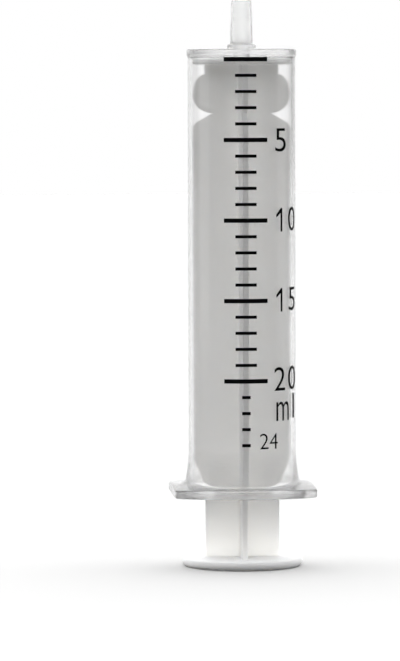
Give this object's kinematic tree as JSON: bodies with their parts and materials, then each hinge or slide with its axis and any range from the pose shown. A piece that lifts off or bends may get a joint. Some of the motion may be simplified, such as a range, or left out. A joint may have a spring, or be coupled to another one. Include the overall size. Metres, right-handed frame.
{
  "type": "luer slip syringe",
  "caption": "Two-piece disposable syringe: translucent barrel with a tapered slip nozzle, finger flange and printed scale, and a ribbed plunger that slides inside it.",
  "frame": {"origin": "middle of the thumb rest's underside, which the syringe stands on", "axes": "+Z along the syringe's axis from the thumb rest to the nozzle; the printed scale faces -Y; X runs between the flange's flat ends"},
  "size_m": [0.0284, 0.0292, 0.1131],
  "materials": {
    "barrel_pp": "satin, translucent moulded polypropylene",
    "plunger_pe": "satin, milky moulded polyethylene",
    "scale_ink": "flat black pad-printing ink"
  },
  "bodies": {
    "plunger_body": {"plunger": "plunger_pe"},
    "barrel_body": {"barrel": "barrel_pp", "scale_marks": "scale_ink"}
  },
  "joints": [
    {"name": "plunger_slide", "type": "slide", "parent": "plunger_body", "child": "barrel_body", "axis": [0, 0, 1], "range_m": [0, 0.0763]}
  ]
}
